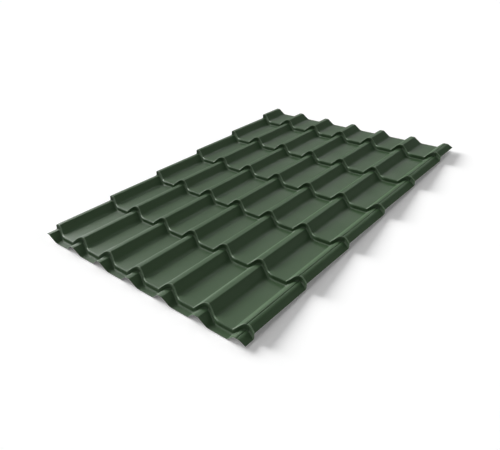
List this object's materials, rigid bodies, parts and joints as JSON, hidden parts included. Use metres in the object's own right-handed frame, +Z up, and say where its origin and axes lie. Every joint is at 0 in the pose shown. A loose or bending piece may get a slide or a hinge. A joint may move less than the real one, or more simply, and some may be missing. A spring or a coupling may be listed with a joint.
{
  "type": "tile effect roofing sheet",
  "caption": "Roll-formed coated steel roofing sheet: rounded crests and flat pans run its length, with stamped arched steps across it like rows of tiles.",
  "frame": {"origin": "centre of the sheet's outline, on the level floor that it lies on", "axes": "+Y along the sheet from the eaves end (the cut in front of the first step) to the back, +X across the waves to the side with the wide lap crest, +Z up, away from the roof"},
  "size_m": [1.1446, 1.705, 0.0497],
  "materials": {
    "coated_steel": "satin dark green polyester coating"
  },
  "bodies": {
    "root": {"roofing_sheet": "coated_steel"}
  },
  "joints": []
}
